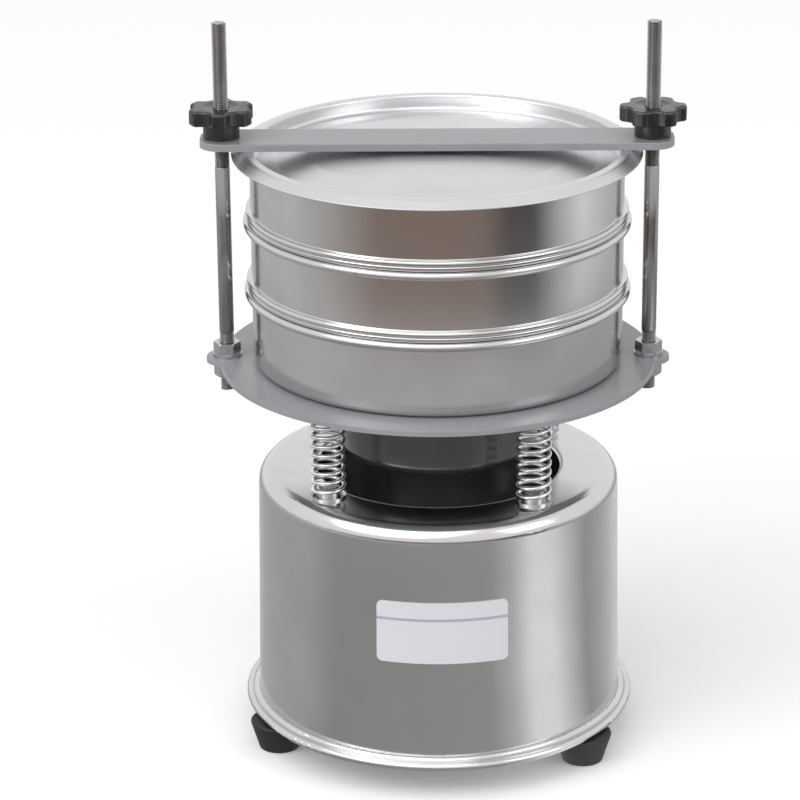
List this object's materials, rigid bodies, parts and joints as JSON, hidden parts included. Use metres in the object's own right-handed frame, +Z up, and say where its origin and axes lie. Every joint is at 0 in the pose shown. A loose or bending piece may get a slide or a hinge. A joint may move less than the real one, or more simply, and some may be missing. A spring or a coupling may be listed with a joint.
{
  "type": "sieve shaker",
  "caption": "Electric sieve shaker: a sprung platform over a drum-shaped base carries nested round test sieves, a pan and a lid, clamped by a crossbar on threaded rods with star knobs.",
  "frame": {"origin": "on the floor under the axis of the sieve stack", "axes": "+Z up along the stack's axis, front (label side) facing -Y, clamp rods on the X axis"},
  "size_m": [0.266, 0.238, 0.4051],
  "materials": {
    "drum_steel": "satin stainless, drawn",
    "cover_steel": "galvanised",
    "sieve_steel": "satin stainless, spun",
    "lid_steel": "polished stainless, spun",
    "mesh_steel": "woven wire cloth",
    "zinc_steel": "zinc plated",
    "core_steel": "laminated steel",
    "spring_chrome": "chrome-plated wire",
    "plate_paint": "satin grey powder coat",
    "motor_paint": "satin dark grey paint",
    "insert_brass": "turned brass",
    "knob_plastic": "moulded black phenolic",
    "switch_plastic": "black moulded",
    "gland_plastic": "black polyamide",
    "terminal_plastic": "natural polyamide",
    "capacitor_can": "drawn aluminium can",
    "label_foil": "bare grey-white film",
    "foot_rubber": "black rubber"
  },
  "bodies": {
    "base": {"base_drum": "drum_steel", "bottom_cover": "cover_steel", "foot_left": "foot_rubber", "foot_right": "foot_rubber", "foot_rear": "foot_rubber", "foot_screws": "zinc_steel", "label_plate": "label_foil", "cable_gland": "gland_plastic", "gland_locknut": "gland_plastic", "switch_housing": "switch_plastic", "capacitor": "capacitor_can", "capacitor_clip": "zinc_steel", "terminal_block": "terminal_plastic", "lower_spring_seats": "zinc_steel", "lower_seat_screws": "zinc_steel", "spring_front_left": "spring_chrome", "spring_front_right": "spring_chrome", "spring_rear_left": "spring_chrome", "spring_rear_right": "spring_chrome"},
    "switch": {"switch_rocker": "switch_plastic"},
    "platform": {"platform_plate": "plate_paint", "upper_spring_seats": "zinc_steel", "upper_seat_screws": "zinc_steel", "motor_housing": "motor_paint", "motor_shield": "motor_paint", "motor_screws": "zinc_steel", "motor_stator": "core_steel", "lower_bearing": "zinc_steel", "upper_bearing": "zinc_steel", "left_rod": "zinc_steel", "right_rod": "zinc_steel", "upper_rod_nuts": "zinc_steel", "lower_rod_nuts": "zinc_steel", "rod_washers": "zinc_steel"},
    "rotor": {"motor_shaft": "zinc_steel", "rotor_core": "core_steel", "lower_weight": "core_steel", "upper_weight": "core_steel"},
    "pan": {"receiver_pan": "sieve_steel"},
    "sieve_2": {"sieve_2_frame": "sieve_steel", "sieve_2_mesh": "mesh_steel", "sieve_2_clamp_ring": "sieve_steel"},
    "sieve_1": {"sieve_1_frame": "sieve_steel", "sieve_1_mesh": "mesh_steel", "sieve_1_clamp_ring": "sieve_steel"},
    "lid": {"lid": "lid_steel"},
    "clamp_bar": {"crossbar": "plate_paint"},
    "left_clamp_knob": {"left_knob": "knob_plastic", "left_knob_insert": "insert_brass"},
    "right_clamp_knob": {"right_knob": "knob_plastic", "right_knob_insert": "insert_brass"}
  },
  "joints": [
    {"name": "platform_bounce", "type": "slide", "parent": "base", "child": "platform", "axis": [0, 0, 1], "range_m": [-0.004, 0.004], "stiffness_N_per_m": 20450, "springref_m": 0.00238, "deforming": ["spring_front_left", "spring_front_right", "spring_rear_left", "spring_rear_right"]},
    {"name": "rotor_spin", "type": "hinge", "parent": "platform", "child": "rotor", "pos_m": [0, 0, 0.19], "axis": [0, 0, 1], "continuous": true},
    {"name": "switch_rock", "type": "hinge", "parent": "base", "child": "switch", "pos_m": [0.03755, 0.09294, 0.048], "axis": [-0.9272, 0.3746, 0], "range_deg": [0, 20]},
    {"name": "bar_lift", "type": "slide", "parent": "platform", "child": "clamp_bar", "axis": [0, 0, 1], "range_m": [0, 0.045]},
    {"name": "lid_lift", "type": "slide", "parent": "platform", "child": "lid", "axis": [0, 0, 1], "range_m": [0, 0.0415]},
    {"name": "sieve_1_lift", "type": "slide", "parent": "platform", "child": "sieve_1", "axis": [0, 0, 1], "range_m": [0, 0.028]},
    {"name": "sieve_2_lift", "type": "slide", "parent": "platform", "child": "sieve_2", "axis": [0, 0, 1], "range_m": [0, 0.0154]},
    {"name": "pan_lift", "type": "slide", "parent": "platform", "child": "pan", "axis": [0, 0, 1], "range_m": [0, 0.0046]},
    {"name": "left_knob_turn", "type": "hinge", "parent": "clamp_bar", "child": "left_clamp_knob", "pos_m": [-0.1156, 0, 0.3422], "axis": [0, 0, 1], "range_deg": [0, 12961]},
    {"name": "right_knob_turn", "type": "hinge", "parent": "clamp_bar", "child": "right_clamp_knob", "pos_m": [0.1156, 0, 0.3422], "axis": [0, 0, 1], "range_deg": [0, 12961]}
  ],
  "couplings": [
    {"joint": "lid_lift", "follows": "bar_lift", "ratio": 0.92},
    {"joint": "sieve_1_lift", "follows": "bar_lift", "ratio": 0.62},
    {"joint": "sieve_2_lift", "follows": "bar_lift", "ratio": 0.34},
    {"joint": "pan_lift", "follows": "bar_lift", "ratio": 0.1},
    {"joint": "left_knob_turn", "follows": "bar_lift", "rad_per_m": 5026.5},
    {"joint": "right_knob_turn", "follows": "bar_lift", "rad_per_m": 5026.5}
  ]
}
